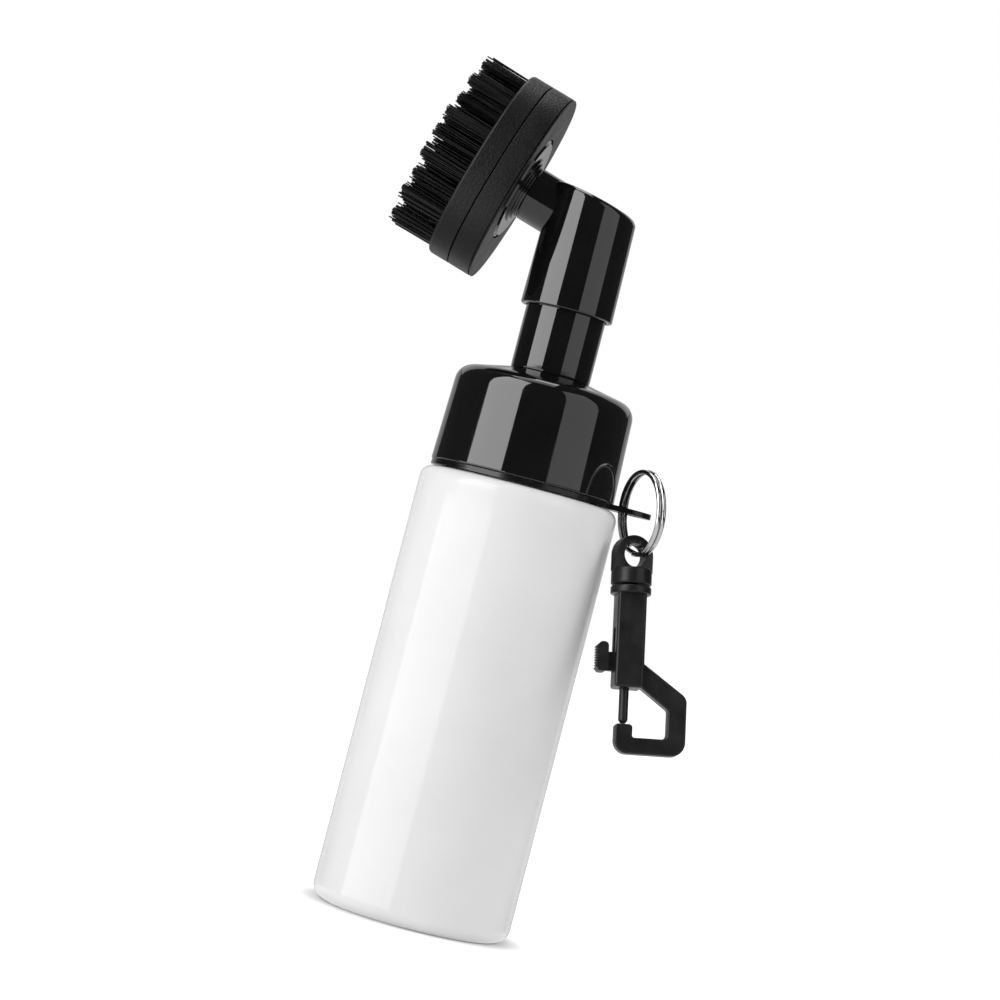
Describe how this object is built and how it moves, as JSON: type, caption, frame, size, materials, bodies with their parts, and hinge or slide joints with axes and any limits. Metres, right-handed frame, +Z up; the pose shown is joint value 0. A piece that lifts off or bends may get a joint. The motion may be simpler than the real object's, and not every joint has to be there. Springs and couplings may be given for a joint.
{
  "type": "club groove brush",
  "caption": "Water-fed golf club brush: cylindrical bottle with a screw collar, press pump, angled spout, oval bristle head, and a split ring with a swivel snap hook.",
  "frame": {"origin": "centre of the flat base of the bottle", "axes": "+Z up along the bottle's axis; the brush points to -X and the lanyard tab with the ring and the hook to +X"},
  "size_m": [0.097, 0.047, 0.1988],
  "materials": {
    "white_gloss": "glossy white plastic",
    "black_gloss": "polished black plastic",
    "black_grain": "fine-grained matte black plastic",
    "black_satin": "satin black plastic",
    "bristle": "black nylon filament",
    "chrome": "plated steel wire",
    "spring_steel": "bare stainless steel",
    "natural_plastic": "uncoloured plastic",
    "rubber": "matte rubber"
  },
  "bodies": {
    "bottle": {"bottle": "white_gloss", "lanyard_tab": "black_satin"},
    "pump": {"pump_housing": "natural_plastic", "housing_cap": "natural_plastic", "dip_tube": "natural_plastic", "neck_gasket": "rubber", "chimney": "black_gloss", "return_spring": "spring_steel"},
    "collar": {"collar": "black_gloss"},
    "ball": {"inlet_ball": "spring_steel"},
    "piston": {"piston_seal": "rubber"},
    "head": {"pump_head": "black_gloss", "piston_stem": "natural_plastic"},
    "brush": {"brush_connector": "black_gloss", "spigot_oring": "rubber", "brush_back": "black_grain", "brush_pad": "black_grain", "bristle_row_1": "bristle", "bristle_row_2": "bristle", "bristle_row_3": "bristle", "bristle_row_4": "bristle", "bristle_row_5": "bristle", "bristle_row_6": "bristle"},
    "ring": {"split_ring": "chrome"},
    "eye": {"swivel_eye": "black_satin"},
    "hook": {"hook_body": "black_satin", "bolt_spring": "spring_steel"},
    "bolt": {"slide_bolt": "black_satin"}
  },
  "joints": [
    {"name": "closure_lift", "type": "slide", "parent": "bottle", "child": "pump", "axis": [0, 0, 1], "range_m": [0, 0.0053]},
    {"name": "closure_turn", "type": "hinge", "parent": "pump", "child": "collar", "pos_m": [0, 0, 0.105], "axis": [0, 0, 1], "range_deg": [0, 540]},
    {"name": "ball_lift", "type": "slide", "parent": "pump", "child": "ball", "axis": [0, 0, 1], "range_m": [0, 0.0012]},
    {"name": "head_press", "type": "slide", "parent": "pump", "child": "piston", "axis": [0, 0, -1], "range_m": [0, 0.011], "stiffness_N_per_m": 350, "springref_m": -0.02, "deforming": ["return_spring"]},
    {"name": "head_turn", "type": "hinge", "parent": "piston", "child": "head", "pos_m": [0, 0, 0.145], "axis": [0, 0, 1], "continuous": true},
    {"name": "brush_turn", "type": "hinge", "parent": "head", "child": "brush", "pos_m": [0, 0, 0.1656], "axis": [-0.9537, 0.07, 0.2924], "continuous": true},
    {"name": "ring_swing", "type": "hinge", "parent": "bottle", "child": "ring", "pos_m": [0.0244, 0, 0.10345], "axis": [0, 0, 1], "range_deg": [-5, 60]},
    {"name": "eye_swing", "type": "hinge", "parent": "ring", "child": "eye", "pos_m": [0.02864, -0.00615, 0.09489], "axis": [0.4386, -0.8702, -0.2244], "range_deg": [-6, 45]},
    {"name": "clip_swivel", "type": "hinge", "parent": "eye", "child": "hook", "pos_m": [0.02864, -0.00615, 0.09489], "axis": [-0.198, 0.1736, 0.9647], "continuous": true},
    {"name": "bolt_slide", "type": "slide", "parent": "hook", "child": "bolt", "axis": [-0.198, 0.1736, 0.9647], "range_m": [0, 0.0055], "stiffness_N_per_m": 150, "springref_m": -0.01, "deforming": ["bolt_spring"]}
  ],
  "couplings": [
    {"joint": "closure_lift", "follows": "closure_turn", "m_per_rad": 0.00055704}
  ]
}
